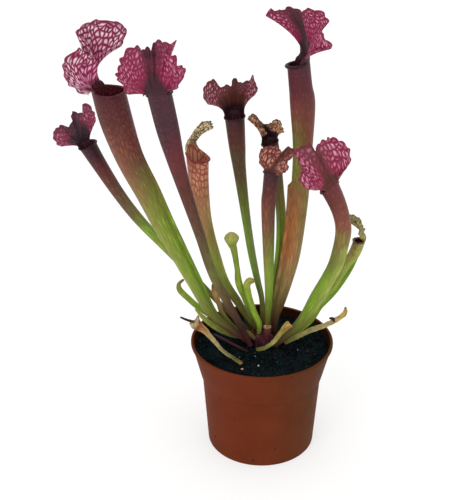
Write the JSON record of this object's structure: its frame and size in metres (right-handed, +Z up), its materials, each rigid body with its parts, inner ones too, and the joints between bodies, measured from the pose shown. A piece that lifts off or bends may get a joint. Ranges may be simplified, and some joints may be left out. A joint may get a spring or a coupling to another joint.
{
  "type": "potted pitcher plant",
  "caption": "Carnivorous house plant with tall hooded tubular leaves, young and dried leaves at its crown, growing in dark peat in a round plastic nursery pot.",
  "frame": {"origin": "middle of the flat underside of the pot", "axes": "+Z up through the middle of the pot to the tallest leaf, -Y towards the side that the picture shows, +X to that side's right"},
  "size_m": [0.2506, 0.12, 0.3773],
  "materials": {
    "pot_plastic": "thin moulded plastic, terracotta brown, satin",
    "peat": "damp loose dark peat",
    "rhizome_skin": "dark maroon knotted rootstock",
    "pitcher_maroon": "smooth leaf, dark maroon with a netted hood",
    "pitcher_striped": "smooth leaf, red-brown to green with fine dark stripes",
    "pitcher_netted": "smooth leaf, crimson net on tan",
    "pitcher_aged": "smooth leaf, olive green, drying at the top",
    "pitcher_red_brown": "smooth leaf, red-brown to orange-brown",
    "pitcher_yellowed": "old leaf, yellow-green, brown at its curled top",
    "leaf_young": "young leaf, yellow-green, satin",
    "leaf_green": "green leaf, satin",
    "leaf_dried": "dried papery leaf, tan",
    "stem_bark": "bare dark maroon stalk"
  },
  "bodies": {
    "root": {"pot": "pot_plastic", "soil": "peat", "rhizome": "rhizome_skin", "pitcher_far_left": "pitcher_maroon", "pitcher_left": "pitcher_striped", "pitcher_front_left": "pitcher_maroon", "pitcher_netted": "pitcher_netted", "pitcher_centre": "pitcher_maroon", "pitcher_aged": "pitcher_aged", "pitcher_front": "pitcher_striped", "pitcher_tall": "pitcher_red_brown", "pitcher_right": "pitcher_striped", "pitcher_curled": "pitcher_yellowed", "pitcher_young_round": "leaf_young", "pitcher_young_curl": "leaf_young", "leaf_flat_right": "leaf_green", "leaf_cut_right": "leaf_green", "leaf_hooked_left": "leaf_young", "leaf_pointed_left": "leaf_young", "leaf_browning": "leaf_dried", "leaf_small_left": "leaf_green", "leaf_small_back": "leaf_green", "dry_leaf_left": "leaf_dried", "dry_leaf_right": "leaf_dried", "dry_leaf_short": "leaf_dried", "stem_bare": "stem_bark"}
  },
  "joints": []
}
